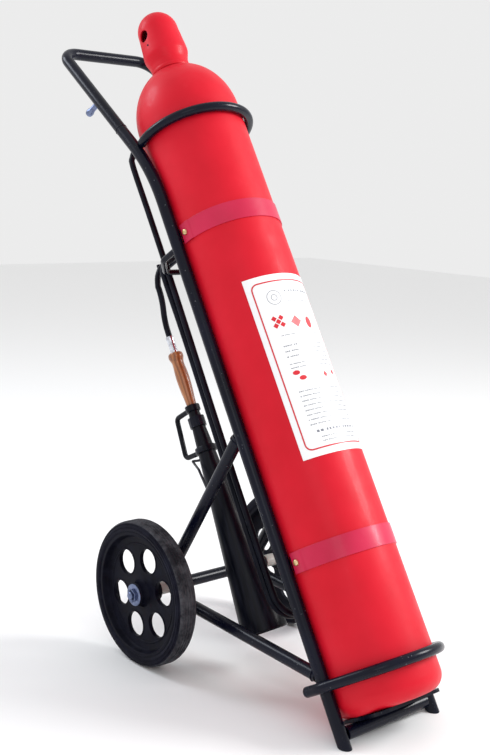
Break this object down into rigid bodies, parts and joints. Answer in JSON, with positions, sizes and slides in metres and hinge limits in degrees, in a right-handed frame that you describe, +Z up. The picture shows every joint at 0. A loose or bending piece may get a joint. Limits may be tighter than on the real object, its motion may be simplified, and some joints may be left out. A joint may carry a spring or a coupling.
{
  "type": "wheeled fire extinguisher",
  "caption": "Tall domed steel gas cylinder strapped to a leaning two-wheeled tube trolley, with a looped hose, turned wooden grip and conical discharge horn behind it.",
  "frame": {"origin": "centre of the bounding box at floor level, with the trolley leaning back on its wheels and feet", "axes": "+Z up, -Y the cylinder's front, +Y the way the trolley leans, +X its right side seen from the front; the axle lies along X"},
  "size_m": [0.4664, 1.0548, 1.3346],
  "materials": {
    "red_paint": "glossy red enamel",
    "black_paint": "gloss black enamel",
    "zinc": "bright zinc plate",
    "brass": "turned brass",
    "copper": "drawn copper tube",
    "rubber": "matt black rubber",
    "cast_iron": "black painted casting",
    "nylon": "off-white nylon",
    "wood": "varnished turned wood",
    "horn_plastic": "black moulded plastic"
  },
  "bodies": {
    "trolley": {"cylinder_shell": "red_paint", "neck_collar": "red_paint", "strap_upper": "red_paint", "strap_lower": "red_paint", "valve_body": "brass", "valve_outlet_plug": "brass", "burst_disc_nut": "brass", "hose_coupling": "brass", "dip_tube": "copper", "axle": "zinc", "coupling_sleeve": "zinc", "handle_hook": "zinc", "hose_ferrule": "zinc", "rail_left": "black_paint", "rail_right": "black_paint", "foot_left": "black_paint", "foot_right": "black_paint", "handle_grip_bar": "black_paint", "shoulder_hoop": "black_paint", "base_hoop": "black_paint", "strut_left": "black_paint", "strut_right": "black_paint", "axle_tube": "black_paint", "base_crossbar": "black_paint", "base_plate": "black_paint", "hose_brace": "black_paint", "hose_peg": "black_paint", "coupling_peg": "black_paint", "horn_post": "black_paint", "horn_clip": "black_paint", "horn_rest": "black_paint", "hose": "rubber", "wooden_grip": "wood", "discharge_horn": "horn_plastic", "horn_handle": "horn_plastic", "strap_lug_upper_left": "black_paint", "strap_bolt_upper_left": "zinc", "strap_lug_upper_right": "black_paint", "strap_bolt_upper_right": "zinc", "strap_lug_lower_left": "black_paint", "strap_bolt_lower_left": "zinc", "strap_lug_lower_right": "black_paint", "strap_bolt_lower_right": "zinc", "axle_washer_left": "zinc", "axle_nut_left": "zinc", "cotter_pin_left": "zinc", "axle_washer_right": "zinc", "axle_nut_right": "zinc", "cotter_pin_right": "zinc"},
    "wheel_left": {"tyre_left": "rubber", "wheel_left": "cast_iron", "hub_bush_left": "nylon"},
    "wheel_right": {"tyre_right": "rubber", "wheel_right": "cast_iron", "hub_bush_right": "nylon"},
    "cap": {"valve_cap": "red_paint"},
    "handwheel": {"valve_spindle": "zinc", "handwheel_nut": "zinc", "valve_handwheel": "black_paint"}
  },
  "joints": [
    {"name": "wheel_left_spin", "type": "hinge", "parent": "trolley", "child": "wheel_left", "pos_m": [-0.197, 0.05728, 0.15], "axis": [1, 0, 0], "continuous": true},
    {"name": "wheel_right_spin", "type": "hinge", "parent": "trolley", "child": "wheel_right", "pos_m": [0.197, 0.05728, 0.15], "axis": [1, 0, 0], "continuous": true},
    {"name": "cap_lift", "type": "slide", "parent": "trolley", "child": "cap", "axis": [0, 0.5246, 0.8514], "range_m": [0, 0.17]},
    {"name": "handwheel_turn", "type": "hinge", "parent": "trolley", "child": "handwheel", "pos_m": [0, 0.31612, 1.28491], "axis": [0, 0.5246, 0.8514], "range_deg": [0, 1080]}
  ]
}
